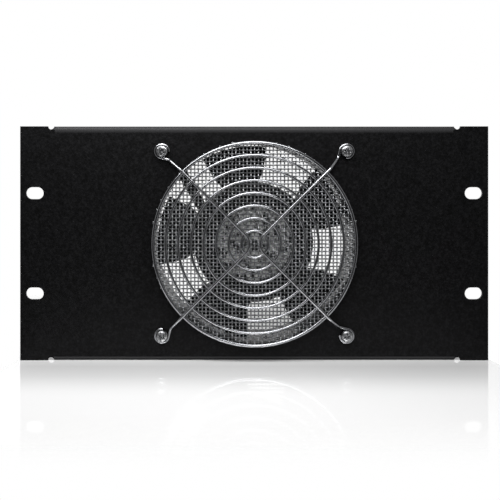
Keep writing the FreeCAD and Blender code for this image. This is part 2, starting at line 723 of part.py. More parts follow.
def combine(kind, name, base, tool):
    item = doc.addObject(kind, name)
    item.Label = name
    item.Base, item.Tool = base, tool
    return item


def make_preload_washer():
    """A curved spring washer between the tube's shoulder and the rear bearing."""
    front = "(bearing_front + bearing_width + tube_shoulder + seat_gap)"
    room = f"(bearing_rear - seat_gap - {front})"
    edge = "(bearing_radius - seat_gap)"
    bow = f"({room} - spring_sheet)"
    bend = f"({edge} ^ 2 / 2 / {bow} + {bow} / 2)"
    upright, lying = Rotation(), Rotation(Vector(1, 0, 0), -90)
    tall = {"y": f"{front} + {bend}", "z": f"-2 * {edge}"}
    shell = combine(
        "Part::Cut", "washer_shell",
        cylinder("washer_outside", bend, f"4 * {edge}", upright, **tall),
        cylinder("washer_inside", f"{bend} - spring_sheet", f"4 * {edge}", upright, **tall))
    ring = combine(
        "Part::Cut", "washer_ring",
        cylinder("washer_edge", edge, room, lying, y=front),
        cylinder("washer_bore", "shoulder_radius", room, lying, y=front))
    return combine("Part::Common", "preload_washer", shell, ring)


# ---------------------------------------------------------------- stator
CORE_BACK = "(core_front + core_length)"


def make_stator_stack(name, front, rear, shoes):
    """The stator's outline: a ring, the pole arms and, on the core, their shoes."""
    part = new_body(name)
    ring = new_sketch(part, "ring", "XY_Plane")
    rectangle(ring, TUBE_RADIUS, f"{TUBE_RADIUS} + hub_wall", front, rear)
    revolve(part, "ring", ring)
    arm = new_sketch(part, "arm", "XZ_Plane", f"-({rear})")
    arm_end = "core_radius - pole_depth / 2" if shoes else "coil_start + coil_length"
    rectangle(arm, f"{TUBE_RADIUS} + hub_wall / 2", arm_end, "-arm_width / 2", "arm_width / 2")
    repeated = [pad(part, "arm", arm, f"({rear}) - ({front})")]
    if shoes:
        shoe = new_sketch(part, "shoe", "XY_Plane")
        rectangle(shoe, "core_radius - pole_depth", "core_radius", front, rear)
        repeated.append(revolve(part, "shoe", shoe, Angle="pole_angle", Midplane=True))
    polar(part, "poles", repeated, "pole_count")
    return part


def make_stator():
    turn = turn_about_axis(45)
    core = make_stator_stack("stator_core", "core_front", CORE_BACK, True)
    core.Placement = turn
    pair = []
    for end, front in (("front", "core_front - insulator"), ("rear", CORE_BACK)):
        plate = make_stator_stack(f"insulator_{end}", front, f"{front} + insulator", False)
        plate.Placement = turn
        pair.append(plate)
    insulators = group("stator_insulators", pair)
    return core, insulators


def make_coils():
    """One coil round each pole arm, outside the end insulators."""
    coils = []
    for index in range(count("pole_count")):
        part = new_body(f"coil_{index + 1}")
        flat = new_sketch(part, "turns", "YZ_Plane", "coil_start")
        low, high = "core_front - insulator", f"{CORE_BACK} + insulator"
        side = "arm_width / 2 + seat_gap"
        rectangle(flat, "core_front - coil_overhang", f"{CORE_BACK} + coil_overhang",
                  "-arm_width / 2 - coil_thickness", "arm_width / 2 + coil_thickness")
        rectangle(flat, low, high, f"-({side})", side)
        block = pad(part, "turns", flat, "coil_length")
        reach = size("arm_width / 2 + coil_thickness")

        def is_corner(edge):
            return near(edge.Length, size("coil_length")) and near(abs(edge.BoundBox.ZMin), reach)

        fillet(part, "round", block, is_corner, "coil_round")
        part.Placement = turn_about_axis(45 + 360 * index / count("pole_count"))
        coils.append(part)
    return group("stator_coils", coils)


# ---------------------------------------------------------------- rotor
RING_IN = "(core_radius + air_gap)"
RING_OUT = "(core_radius + air_gap + rotor_wall)"
CUP_OUT = f"({RING_OUT} + cup_wall)"
HUB_OUT = f"({CUP_OUT} + hub_wall_thickness)"


def make_rotor_core():
    part = turned("rotor_core", [
        (RING_IN, "core_front"), (RING_OUT, "core_front"), (RING_OUT, CORE_BACK), (RING_IN, CORE_BACK)])
    hole = new_sketch(part, "bar_hole", "XZ_Plane")
    circle(hole, f"({RING_IN} + {RING_OUT}) / 2", "0", "bar_radius")
    one = cut_through(part, "bar_hole", hole)
    polar(part, "bar_holes", [one], "bar_count")
    return part


def make_rotor_cage():
    """The cast cage: two end rings joined by bars through the core."""
    part = new_body("rotor_cage")
    low, high = f"{RING_IN} + ring_inset", f"{RING_OUT} - ring_inset"
    for name, front in (("front_ring", "core_front - end_ring"), ("rear_ring", CORE_BACK)):
        flat = new_sketch(part, name, "XY_Plane")
        rectangle(flat, low, high, front, f"{front} + end_ring")
        revolve(part, name, flat)
    bar = new_sketch(part, "bar", "XZ_Plane", f"-({CORE_BACK} + end_ring / 2)")
    circle(bar, f"({RING_IN} + {RING_OUT}) / 2", "0", "bar_radius")
    one = pad(part, "bar", bar, "core_length + end_ring")
    polar(part, "bars", [one], "bar_count")
    return part


def make_rotor_cup():
    boss = "(shaft_radius + cup_boss)"
    inside, back = "(cup_front + cup_wall)", "(cup_front + cup_length)"
    part = turned("rotor_cup", [
        ("shaft_radius", "cup_front"), (CUP_OUT, "cup_front"), (CUP_OUT, back), (RING_OUT, back),
        (RING_OUT, inside), (boss, inside), (boss, "bearing_front - thrust_thickness"),
        ("shaft_radius", "bearing_front - thrust_thickness")])
    front, radius = size("cup_front"), size(CUP_OUT)

    def front_edge(edge):
        box = edge.BoundBox
        return near(box.YMin, front) and near(box.YMax, front) and near(box.XMax, radius)

    fillet(part, "front_edge", part.Tip, front_edge, "cup_round")
    return part


def make_impeller():
    """Hub and twisted blades, moulded as one."""
    hub_in, hub_out = size(CUP_OUT), size(HUB_OUT)
    front, rear = size("hub_front"), size("hub_front + hub_length")
    window, bevel = size("badge_radius + badge_gap"), size("hub_round")
    face, inner_round = size("cup_front"), size("cup_round")
    profile = [
        (window, front), (hub_out - bevel, front), (hub_out, front + bevel), (hub_out, rear),
        (hub_in, rear), (hub_in, face + inner_round), (hub_in - inner_round, face), (window, face)]
    spots = [Vector(radius, depth, 0) for radius, depth in profile]
    flat_share = 1 - math.sqrt(0.5)
    arcs = {
        1: Vector(hub_out - bevel * flat_share, front + bevel * flat_share, 0),
        5: Vector(hub_in - inner_round * flat_share, face + inner_round * flat_share, 0)}
    edges = []
    for index, start in enumerate(spots):
        stop = spots[(index + 1) % len(spots)]
        run = Part.Arc(start, arcs[index], stop) if index in arcs else Part.LineSegment(start, stop)
        edges.append(run.toShape())
    outline_face = Part.Face(Part.Wire(edges))
    solid = outline_face.revolve(Vector(0, 0, 0), Vector(0, 1, 0), 360)
    tip, start_y, depth = size("blade_tip"), size("blade_front"), size("blade_depth")
    spread = math.tan(math.radians(size("blade_angle") / 2))
    inner, outer = hub_out - size("blade_start"), tip + size("blade_overrun")
    stations = (0.0, 0.35, 0.7, 1.0)
    sections = []
    for share in stations:
        radius = inner + (outer - inner) * share
        thick = size("blade_root") + (size("blade_edge") - size("blade_root")) * share
        half = radius * spread
        lead, trail = Vector(radius, start_y, half), Vector(radius, start_y + depth, -half)
        along = (trail - lead).normalize()
        normal = Vector(1, 0, 0).cross(along).normalize()
        bow = normal * size("blade_camber")
        centre = (lead + trail) * 0.5
        edge = normal * (thick / 4)
        belly = normal * (thick / 2)
        upper = Part.Arc(lead + edge, centre + bow + belly, trail + edge).toShape()
        lower = Part.Arc(trail - edge, centre + bow - belly, lead - edge).toShape()
        back = Part.LineSegment(trail + edge, trail - edge).toShape()
        nose = Part.LineSegment(lead - edge, lead + edge).toShape()
        sections.append(Part.Wire([upper, back, lower, nose]))
    blade = Part.makeLoft(sections, True, False)
    margin = size("blade_margin")
    base, length, along = Vector(0, start_y - margin, 0), depth + 2 * margin, Vector(0, 1, 0)
    disc = Part.makeCylinder(tip, length, base, along)
    bore = Part.makeCylinder(hub_out - size("blade_sunk"), length, base, along)
    blade = blade.common(disc.cut(bore))
    total = count("blade_count")
    turns = [size("blade_turn") + 360 * index / total for index in range(total)]
    blades = []
    for turn in turns:
        one = blade.copy()
        one.rotate(Vector(0, 0, 0), Vector(0, 1, 0), -turn)
        blades.append(one)
    return shaped("impeller", solid.fuse(blades).removeSplitter())


def make_rotor_badge():
    back = "cup_front"
    low = "shaft_radius + shaft_gap * 4"
    return turned("rotor_badge", [
        (low, f"{back} - label_thickness"), ("badge_radius", f"{back} - label_thickness"),
        ("badge_radius", back), (low, back)])


def make_shaft():
    clip = "bearing_rear + bearing_width + thrust_thickness"
    slim = "shaft_radius - clip_groove"
    return turned("motor_shaft", [
        ("0", "cup_front"), ("shaft_radius", "cup_front"), ("shaft_radius", clip), (slim, clip),
        (slim, f"{clip} + clip_height + seat_gap"), ("shaft_radius", f"{clip} + clip_height + seat_gap"),
        ("shaft_radius", "shaft_end - shaft_chamfer"), ("shaft_radius - shaft_chamfer", "shaft_end"),
        ("0", "shaft_end")])


def make_thrust_washers():
    washers = []
    spots = (("front", "bearing_front - thrust_thickness"), ("rear", "bearing_rear + bearing_width"))
    for name, front in spots:
        washers.append(turned(f"thrust_washer_{name}", [
            ("shaft_radius + shaft_gap", front), ("race_inner", front),
            ("race_inner", f"{front} + thrust_thickness"),
            ("shaft_radius + shaft_gap", f"{front} + thrust_thickness")]))
    return group("thrust_washers", washers)


def make_retaining_clip():
    front = "(bearing_rear + bearing_width + thrust_thickness)"
    low = "shaft_radius - clip_groove + shaft_gap / 2"
    rear = f"{front} + clip_height"
    part = turned("retaining_clip", [
        (low, front), ("clip_radius", front), ("clip_radius", rear), (low, rear)])
    mouth = new_sketch(part, "mouth", "XZ_Plane")
    rectangle(mouth, "-clip_mouth / 2", "clip_mouth / 2", "0", "2 * clip_radius")
    cut_through(part, "mouth", mouth)
    return part


# ---------------------------------------------------------------- terminals
LEAD_Y = f"({FLANGE_Y} - lead_radius - seat_gap)"


def make_leads():
    """Two insulated leads: out of a coil, then along the front of a strut."""
    radius, bend = size("lead_radius"), size("lead_bend")
    start_y, run_y = size(f"{CORE_BACK} + coil_overhang"), size(LEAD_Y)
    leads = []
    for side in (-1, 1):
        z = size("strut_offset") + side * size("lead_spacing") / 2
        end_x = math.sqrt(size("duct_radius + duct_wall") ** 2 - (z + radius) ** 2)
        begin = Vector(size("lead_start"), start_y, z)
        corner = Vector(size("lead_start"), run_y, z)
        leads.append(wire_along(rounded_run([begin, corner, Vector(end_x, run_y, z)], [bend]), radius))
    return shaped("motor_leads", Part.makeCompound(leads))


def make_terminal_block():
    block = doc.addObject("Part::Box", "terminal_box")
    inner_x = "(duct_radius - block_inset)"
    block.setExpression("Length", bound(f"fan_side / 2 + block_reach - {inner_x}"))
    block.setExpression("Width", bound("block_depth"))
    block.setExpression("Height", bound("block_width"))
    block.setExpression("Placement.Base.x", bound(inner_x))
    block.setExpression("Placement.Base.y", bound(f"{FLANGE_Y} - seat_gap - block_depth"))
    block.setExpression("Placement.Base.z", bound("strut_offset - block_width / 2"))
    lying = Rotation(Vector(1, 0, 0), -90)
    seat = cylinder("terminal_seat", "duct_radius + duct_wall", "fan_depth", lying)
    return combine("Part::Cut", "terminal_block", block, seat)


def make_terminal_tabs():
    tabs = []
    for index, side in enumerate(("-", "+"), start=1):
        tab = doc.addObject("Part::Box", f"terminal_tab_{index}")
        tab.setExpression("Length", bound("tab_length"))
        tab.setExpression("Width", bound("tab_width"))
        tab.setExpression("Height", bound("tab_thickness"))
        tab.setExpression("Placement.Base.x", bound("fan_side / 2 + block_reach"))
        middle_y = f"({FLANGE_Y} - seat_gap - block_depth / 2)"
        middle_z = f"(strut_offset {side} tab_spacing / 2)"
        tab.setExpression("Placement.Base.y", bound(f"{middle_y} - tab_width / 2"))
        tab.setExpression("Placement.Base.z", bound(f"{middle_z} - tab_thickness / 2"))
        tabs.append(tab)
    return group("terminal_tabs", tabs)


# ---------------------------------------------------------------- the assembly
sub_parts = [
    make_front_panel(),
    make_guard_rings(),
    make_spoke("guard_spoke_left", (135, 225)),
    make_spoke("guard_spoke_right", (315, 45)),
    make_screen_wires("screen_warp_wires", WARP_Y, Vector(0, 0, 1), Vector(1, 0, 0)),
    make_screen_wires("screen_weft_wires", WEFT_Y, Vector(1, 0, 0), Vector(0, 0, 1)),
    make_guard_screws(),
    make_spring_washers(),
    make_guard_nuts(),
    make_fan_frame(),
    make_bearing_tube(),
    make_rear_label(),
]
for end, front in (("front", "bearing_front"), ("rear", "bearing_rear")):
    sub_parts += [
        make_race(f"{end}_outer_race", front, "race_outer", "bearing_radius"),
        make_race(f"{end}_inner_race", front, "shaft_radius", "race_inner"),
        make_balls(f"{end}_bearing_balls", front),
        make_ball_cage(f"{end}_ball_cage", front),
    ]
sub_parts += [make_preload_washer()]
sub_parts += make_stator()
sub_parts += [
    make_coils(),
    make_rotor_core(),
    make_rotor_cage(),
    make_rotor_cup(),
    make_rotor_badge(),
    make_impeller(),
    make_shaft(),
    make_thrust_washers(),
    make_retaining_clip(),
    make_leads(),
    make_terminal_block(),
    make_terminal_tabs(),
]

doc.recompute()
for item in doc.Objects:
    if "Invalid" in item.State or "Error" in item.State:
        raise RuntimeError(f"{item.Label} failed: {item.State}")
for item in sub_parts:
    if item.Shape.isNull() or not item.Shape.isValid():
        raise RuntimeError(f"{item.Label} has no valid shape")
for item in sub_parts:
    item.Shape.exportStep(f"parts/{item.Label}.step")
    print(f"{item.Label}: {len(item.Shape.Solids)} solids, {item.Shape.Volume:.1f} mm3")
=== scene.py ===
import math
import random

import bpy
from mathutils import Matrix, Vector


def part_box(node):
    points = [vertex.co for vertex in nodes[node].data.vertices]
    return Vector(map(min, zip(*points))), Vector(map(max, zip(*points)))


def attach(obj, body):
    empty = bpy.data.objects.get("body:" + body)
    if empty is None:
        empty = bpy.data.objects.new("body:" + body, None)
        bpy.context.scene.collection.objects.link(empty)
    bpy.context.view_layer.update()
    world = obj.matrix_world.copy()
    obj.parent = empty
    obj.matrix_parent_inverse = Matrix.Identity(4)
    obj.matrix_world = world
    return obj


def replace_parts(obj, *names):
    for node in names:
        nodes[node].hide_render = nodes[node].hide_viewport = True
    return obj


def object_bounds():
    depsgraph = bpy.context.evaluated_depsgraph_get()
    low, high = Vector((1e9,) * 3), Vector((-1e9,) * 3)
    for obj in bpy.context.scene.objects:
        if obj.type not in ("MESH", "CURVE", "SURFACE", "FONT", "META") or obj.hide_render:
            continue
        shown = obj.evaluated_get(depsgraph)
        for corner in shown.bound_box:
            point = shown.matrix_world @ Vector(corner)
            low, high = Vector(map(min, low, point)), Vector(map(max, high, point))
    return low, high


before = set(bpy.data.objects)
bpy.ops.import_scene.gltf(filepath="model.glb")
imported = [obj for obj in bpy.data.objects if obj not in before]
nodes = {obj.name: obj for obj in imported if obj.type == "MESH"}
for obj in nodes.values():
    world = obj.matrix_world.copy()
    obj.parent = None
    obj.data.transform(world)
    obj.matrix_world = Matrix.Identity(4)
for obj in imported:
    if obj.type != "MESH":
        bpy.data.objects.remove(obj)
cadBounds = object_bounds()
print("frame loaded:", len(nodes), "nodes")


# small tools used by every piece

def deselectAll():
    if bpy.context.object and bpy.context.object.mode != "OBJECT":
        bpy.ops.object.mode_set(mode="OBJECT")
    bpy.ops.object.select_all(action="DESELECT")


def pick(*pieces):
    deselectAll()
    for piece in pieces:
        piece.select_set(True)
    bpy.context.view_layer.objects.active = pieces[0]
    return pieces[0]


def placeInMesh(piece):
    # the object ends at the origin, its place is kept in its mesh
    pick(piece)
    bpy.ops.object.transform_apply(location=True, rotation=True, scale=True)
    return piece


def selectPart(piece, kind, test):
    # selects the faces, edges or vertices that pass the test, and stays in edit mode
    pick(piece)
    bpy.ops.object.mode_set(mode="EDIT")
    bpy.ops.mesh.select_mode(type=kind)
    bpy.ops.mesh.select_all(action="DESELECT")
    bpy.ops.object.mode_set(mode="OBJECT")
    mesh = piece.data
    found = {"VERT": mesh.vertices, "EDGE": mesh.edges, "FACE": mesh.polygons}[kind]
    for item in found:
        item.select = bool(test(item))
    bpy.ops.object.mode_set(mode="EDIT")


def doneEditing():
    bpy.ops.object.mode_set(mode="OBJECT")


def useModifier(piece, kind, **settings):
    pick(piece)
    modifier = piece.modifiers.new(kind.lower(), kind)
    for key, value in settings.items():
        setattr(modifier, key, value)
    bpy.ops.object.modifier_apply(modifier=modifier.name)
    return piece


def smoothByAngle(piece, degrees):
    pick(piece)
    bpy.ops.object.shade_smooth_by_angle(angle=math.radians(degrees))


def levelNormals(piece, degrees):
    # smooth rounds beside faces that stay truly flat: the larger faces set the normals
    smoothByAngle(piece, degrees)
    useModifier(piece, "WEIGHTED_NORMAL", mode="FACE_AREA", weight=100, keep_sharp=True)


def mergeAndTidy(piece, flatAngle=0.5):
    # joins the loose triangles of a copied node and clears the edges inside flat faces
    pick(piece)
    bpy.ops.object.mode_set(mode="EDIT")
    bpy.ops.mesh.select_all(action="SELECT")
    bpy.ops.mesh.remove_doubles(threshold=2e-6)
    bpy.ops.mesh.dissolve_limited(angle_limit=math.radians(flatAngle), delimit={"NORMAL"})
    bpy.ops.mesh.select_all(action="SELECT")
    bpy.ops.mesh.normals_make_consistent(inside=False)
    doneEditing()


def copyNode(name, node):
    piece = bpy.data.objects.new(name, nodes[node].data.copy())
    bpy.context.scene.collection.objects.link(piece)
    piece.data.materials.clear()
    mergeAndTidy(piece)
    return piece


def joinAll(name, pieces):
    pick(*pieces)
    if len(pieces) > 1:
        bpy.ops.object.join()
    joined = bpy.context.view_layer.objects.active
    joined.name = name
    joined.data.name = name
    return joined


def finishPiece(piece, body, material, replaced=()):
    piece.data.materials.clear()
    piece.data.materials.append(material)
    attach(piece, body)
    if replaced:
        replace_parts(piece, *replaced)
    return piece


# materials

def toLinear(hexColour):
    # "#rrggbb" in sRGB to the linear colour that a socket takes
    channels = [int(hexColour[i:i + 2], 16) / 255 for i in (1, 3, 5)]
    linear = [c / 12.92 if c <= 0.04045 else ((c + 0.055) / 1.055) ** 2.4 for c in channels]
    return (*linear, 1.0)


def addNode(tree, kind, inputs=None, **settings):
    # settings are the node's own properties; an input takes a value, a node, or (node, output)
    node = tree.nodes.new(kind)
    for key, value in settings.items():
        setattr(node, key, value)
    for socket, source in (inputs or {}).items():
        if isinstance(source, bpy.types.Node):
            source = (source, 0)
        if isinstance(source, tuple) and isinstance(source[0], bpy.types.Node):
            tree.links.new(source[0].outputs[source[1]], node.inputs[socket])
        else:
            node.inputs[socket].default_value = source
    return node


def newMaterial(name):
    material = bpy.data.materials.new(name)
    material.use_nodes = True
    material.node_tree.nodes.clear()
    return material, material.node_tree


def setRamp(node, stops):
    ramp = node.color_ramp
    while len(ramp.elements) > len(stops):
        ramp.elements.remove(ramp.elements[-1])
    while len(ramp.elements) < len(stops):
        ramp.elements.new(0.5)
    for element, (spot, colour) in zip(ramp.elements, stops):
        element.position = spot
        element.color = toLinear(colour) if isinstance(colour, str) else (colour, colour, colour, 1)
    return node


def noiseScale(millimetres):
    # scale of a noise whose features have this size, in object coordinates of metres
    return 1000.0 / millimetres


# painted highlight: a paler band painted along the panel's bends and on the face just below the top
# bend, where the light from above and in front catches the bend
bendHighlight = {
    "tone": "#343435",
    "turn": ((0.0, 0.0), (0.08, 0.9), (0.4, 0.9), (0.8, 0.0)),  # (how level the surface is, share of the painted highlight)
    "below": (0.0624, 0.0648),              # on the face, heights where the painted highlight begins and is full
    "halfLength": 0.1135,                   # it ends with the bend
    "facing": -0.5,                         # and stays on the front
}


def paintBendHighlight(tree, colour, highlight):
    # painted highlight: the finish is painted paler where the surface turns from upright to level, where
    # the bends catch the light
    place = addNode(tree, "ShaderNodeTexCoord")
    facing = addNode(tree, "ShaderNodeSeparateXYZ", {"Vector": (place, "Normal")})
    level = addNode(tree, "ShaderNodeMath", {0: (facing, "Z")}, operation="ABSOLUTE")
    turn = setRamp(addNode(tree, "ShaderNodeValToRGB", {"Fac": level}), highlight["turn"])
    # and the painted highlight goes on, less and less, onto the front face just below the top bend
    spot = addNode(tree, "ShaderNodeSeparateXYZ", {"Vector": (place, "Object")})
    start, full = highlight["below"]
    below = addNode(tree, "ShaderNodeMapRange", {
        "Value": (spot, "Z"), "From Min": start, "From Max": full}, interpolation_type="SMOOTHSTEP")
    aside = addNode(tree, "ShaderNodeMath", {0: (spot, "X")}, operation="ABSOLUTE")
    along = addNode(tree, "ShaderNodeMath", {0: aside, 1: highlight["halfLength"]}, operation="LESS_THAN")
    front = addNode(tree, "ShaderNodeMath", {0: (facing, "Y"), 1: highlight["facing"]}, operation="LESS_THAN")
    onFace = addNode(tree, "ShaderNodeMath", {0: along, 1: front}, operation="MULTIPLY")
    beside = addNode(tree, "ShaderNodeMath", {0: below, 1: onFace}, operation="MULTIPLY")
    highlightShare = addNode(tree, "ShaderNodeMath", {0: turn, 1: beside}, operation="MAXIMUM")
    return addNode(tree, "ShaderNodeMix", {"Factor": highlightShare, 6: colour, 7: toLinear(highlight["tone"])},
                   data_type="RGBA")


def speckledMaterial(name, tones, grain, roughness, bump, metallic=0.0, specular=0.5,
                     stretch=(1, 1, 1), cloud=12.0, roughSpread=0.06, span=0.14, highlight=None):
    # tones: three colours from dark to light; cloud, grain: size in mm of the soft patches and of
    # the fine bumps; span: how far the noise strays from its middle to reach the outer tones
    material, tree = newMaterial(name)
    place = addNode(tree, "ShaderNodeTexCoord")
    point = addNode(tree, "ShaderNodeMapping", {"Vector": (place, "Object"), "Scale": stretch})
    soft = addNode(tree, "ShaderNodeTexNoise", {
        "Vector": point, "Scale": noiseScale(cloud), "Detail": 4.0, "Roughness": 0.6})
    fine = addNode(tree, "ShaderNodeTexNoise", {
        "Vector": point, "Scale": noiseScale(grain), "Detail": 3.0, "Roughness": 0.65})
    both = addNode(tree, "ShaderNodeMath", {0: (soft, "Fac"), 1: (fine, "Fac")}, operation="ADD")
    half = addNode(tree, "ShaderNodeMath", {0: both, 1: 0.5}, operation="MULTIPLY")
    colour = setRamp(addNode(tree, "ShaderNodeValToRGB", {"Fac": half}),
                     ((0.5 - span, tones[0]), (0.5, tones[1]), (0.5 + span, tones[2])))
    least, most = 0.3, 0.7                      # nearly all of the noise lies between these
    rough = addNode(tree, "ShaderNodeMapRange", {
        "Value": (soft, "Fac"), "From Min": least, "From Max": most,
        "To Min": roughness - roughSpread, "To Max": roughness + roughSpread})
    strength, depth = bump
    relief = addNode(tree, "ShaderNodeBump", {
        "Height": (fine, "Fac"), "Strength": strength, "Distance": depth})
    # where given, a painted highlight is mixed into the colour along the bends
    finish = (paintBendHighlight(tree, colour, highlight), "Result") if highlight else (colour, "Color")
    shader = addNode(tree, "ShaderNodeBsdfPrincipled", {
        "Base Color": finish, "Roughness": (rough, "Result"), "Normal": relief, "Metallic": metallic})
    if not metallic:
        shader.inputs["Specular IOR Level"].default_value = specular
    addNode(tree, "ShaderNodeOutputMaterial", {"Surface": shader})
    return material


# black epoxy-polyester powder, sprayed and baked: a dull face with a fine sandy grain, drawn a few
# times coarser than the real one so that it shows
# its bends carry a painted highlight, a paler band mixed into the colour
powderCoat = speckledMaterial("blackPowderCoat", ("#0a0a0a", "#0f0f10", "#171718"), 1.1, 0.4,
                              (0.5, 0.0002), specular=0.09, cloud=2.2, highlight=bendHighlight)
# bright chrome over drawn wire: mirror-like, and very slightly uneven
chromePlate = speckledMaterial("chromePlatedWire", ("#8a8b8e", "#9b9c9f", "#adaeb1"), 0.8, 0.16,
                               (0.05, 0.00002), metallic=1.0, roughSpread=0.02)
# galvanised wire from a loom: dull grey metal with a slight mottle
galvanised = speckledMaterial("galvanisedWovenWire", ("#6e6f71", "#8f9092", "#b2b3b5"), 0.5, 0.3,
                              (0.2, 0.00003), metallic=1.0, cloud=5.0)
# bright zinc plate on screws, washers and nuts: grey-white metal
zincPlate = speckledMaterial("brightZincPlate", ("#68696b", "#949597", "#bebfc0"), 0.4, 0.34,
                             (0.1, 0.00002), metallic=1.0, cloud=1.2, span=0.08)
# black stoving enamel over a die casting: satin, with the casting's faint orange peel
enamel = speckledMaterial("stovedEnamelOnCasting", ("#131314", "#18181a", "#1e1e20"), 1.4, 0.42,
                          (0.35, 0.0001), specular=0.45)
# glass-filled nylon, moulded: black, with a slight satin bloom
nylonBlack = speckledMaterial("mouldedGlassFilledNylon", ("#070708", "#0b0b0c", "#111112"), 0.7, 0.48,
                              (0.2, 0.00005), specular=0.25)
# foil-faced label stock, lacquered, scuffed and stained: pale grey with dark patches
scuffedFoil = speckledMaterial("scuffedLabelFoil", ("#1c1c1d", "#dcdcdc", "#fdfdfc"), 3.0, 0.5,
                               (0.15, 0.00004), specular=0.5, cloud=5.0, span=0.05)
# the same stock on the back, clean: satin silver grey
cleanFoil = speckledMaterial("cleanLabelFoil", ("#b0b1b2", "#babbbc", "#c4c5c5"), 0.6, 0.38,
                             (0.1, 0.00003), specular=0.5, cloud=14.0, span=0.2)
# deep-drawn steel, phosphated: dark grey metal, a little uneven
drawnSteel = speckledMaterial("drawnPhosphatedSteel", ("#3a3b3d", "#4a4b4d", "#5c5d5f"), 0.6, 0.42,
                              (0.2, 0.00004), metallic=1.0)
# ground and polished bearing steel: pale, close to a mirror
bearingSteel = speckledMaterial("groundBearingSteel", ("#a8a9ab", "#b7b8ba", "#c6c7c9"), 0.5, 0.16,
                                (0.05, 0.00002), metallic=1.0)
# turned brass: warm yellow with a soft gleam
turnedBrass = speckledMaterial("turnedBrass", ("#a98a45", "#b8984f", "#c9aa60"), 0.4, 0.28,
                               (0.1, 0.00002), metallic=1.0)
# a stack of stamped sheets: grey metal with fine lines across the axis
laminations = speckledMaterial("stampedLaminations", ("#5d5e60", "#6f7072", "#828385"), 0.35, 0.4,
                               (0.4, 0.0001), metallic=1.0, stretch=(0.15, 3.0, 0.15))
# aluminium cast under pressure: pale, dull and slightly rough
castAluminium = speckledMaterial("pressureCastAluminium", ("#8f9092", "#a2a3a5", "#b3b4b6"), 0.8, 0.45,
                                 (0.3, 0.0001), metallic=1.0)
# enamelled copper wire, wound: red-brown gloss with ridges along the turns
copperEnamel = speckledMaterial("enamelledCopperWinding", ("#6e3216", "#8c431e", "#a85828"), 0.5, 0.35,
                                (0.6, 0.0002), metallic=1.0, stretch=(1.0, 0.2, 1.0))
# nylon without colour, moulded: ivory and satin
nylonNatural = speckledMaterial("mouldedNaturalNylon", ("#cfc8b4", "#d8d2c0", "#e0dbcb"), 0.8, 0.45,
                                (0.15, 0.00005), specular=0.5)
# soft vinyl extruded over the leads: black with a slight gloss
leadJacket = speckledMaterial("extrudedVinylJacket", ("#161616", "#1c1c1c", "#242424"), 0.6, 0.4,
                              (0.1, 0.00003), specular=0.5)
# tin over brass: warm silver, slightly dull
tinPlate = speckledMaterial("tinPlatedBrass", ("#b7b4aa", "#c5c2b8", "#d2cfc6"), 0.4, 0.3,
                            (0.1, 0.00003), metallic=1.0)
print("materials made")


# front panel

panelShape = {"edge": 0.00018, "edgeSteps": 2, "sharp": 50, "smooth": 32}


def makeFrontPanel():
    p = panelShape
    panel = copyNode("frontPanel", "front_panel")
    useModifier(panel, "BEVEL", width=p["edge"], segments=p["edgeSteps"], limit_method="ANGLE",
                angle_limit=math.radians(p["sharp"]), use_clamp_overlap=True)
    levelNormals(panel, p["smooth"])
    return finishPiece(panel, "root", powderCoat, ["front_panel"])


makeFrontPanel()
print("front panel done")


# finger guard

guardShape = {
    "ringFirst": 0.0076, "ringPitch": 0.0071, "ringCount": 8, "ringWire": 0.00075, "rimWire": 0.001,
    "bolt": 0.0525, "spokeWire": 0.00085, "fillet": 0.0074, "straight": 0.060, "bend": 0.003,
    "loop": 0.00375, "join": 121.0, "open": -140.0,     # degrees round the loop, at the leg and the end
    "lead": 0.005, "bite": 0.0001,          # straight run beside the loop, depth of the welds
    "ringSteps": 96, "moreSteps": 16, "wireSteps": 16, "spokeSteps": 5, "loopSteps": 40, "smooth": 50,
}


def makeRings():
    # the spokes are welded across the rings, and the rim stands against the screen
    g = guardShape
    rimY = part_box("guard_rings")[1].y - g["rimWire"]
    spokeY = rimY - g["rimWire"] - g["spokeWire"] + g["bite"]
    ringY = spokeY + g["spokeWire"] + g["ringWire"] - g["bite"]
    rings = []
    for index in range(g["ringCount"]):
        last = index == g["ringCount"] - 1
        deselectAll()
        bpy.ops.mesh.primitive_torus_add(
            location=(0, rimY if last else ringY, 0), rotation=(math.pi / 2, 0, 0),
            major_segments=g["ringSteps"] + g["moreSteps"] * index, minor_segments=g["wireSteps"],
            major_radius=g["ringFirst"] + index * g["ringPitch"],
            minor_radius=g["rimWire"] if last else g["ringWire"])
        rings.append(placeInMesh(bpy.context.object))
    joined = joinAll("guardRings", rings)
    pick(joined)
    bpy.ops.object.shade_smooth()
    finishPiece(joined, "root", chromePlate, ["guard_rings"])
    return spokeY


spokeY = makeRings()


def roundedRun(points, radii, stepAngle=6.0):
    # straight runs through the points, each inner corner rounded by its radius
    run = [points[0]]
    for index in range(1, len(points) - 1):
        corner, radius = points[index], radii[index - 1]
        back = (points[index - 1] - corner).normalized()
        ahead = (points[index + 1] - corner).normalized()
        half = back.angle(ahead) / 2
        middle = corner + (back + ahead).normalized() * (radius / math.sin(half))
        enter = corner + back * (radius / math.tan(half)) - middle
        leave = corner + ahead * (radius / math.tan(half)) - middle
        spread = math.pi - 2 * half
        steps = max(3, int(math.degrees(spread) / stepAngle))
        for step in range(steps + 1):
            share = step / steps
            turned = enter * math.sin((1 - share) * spread) + leave * math.sin(share * spread)
            run.append(middle + turned / math.sin(spread))
    return run + [points[-1]]


def makeWire(name, points, radius):
    # a round wire along the points, closed at its cut ends
    curve = bpy.data.curves.new(name, "CURVE")
    curve.dimensions = "3D"
    curve.bevel_depth = radius
    curve.bevel_resolution = guardShape["spokeSteps"]
    curve.use_fill_caps = True
    line = curve.splines.new("POLY")
    line.points.add(len(points) - 1)
    for spot, point in zip(line.points, points):
        spot.co = (*point, 1)
    wire = bpy.data.objects.new(name, curve)
    bpy.context.scene.collection.objects.link(wire)
    pick(wire)
    bpy.ops.object.convert(target="MESH")
    wire = bpy.context.object
    smoothByAngle(wire, guardShape["smooth"])
    return wire


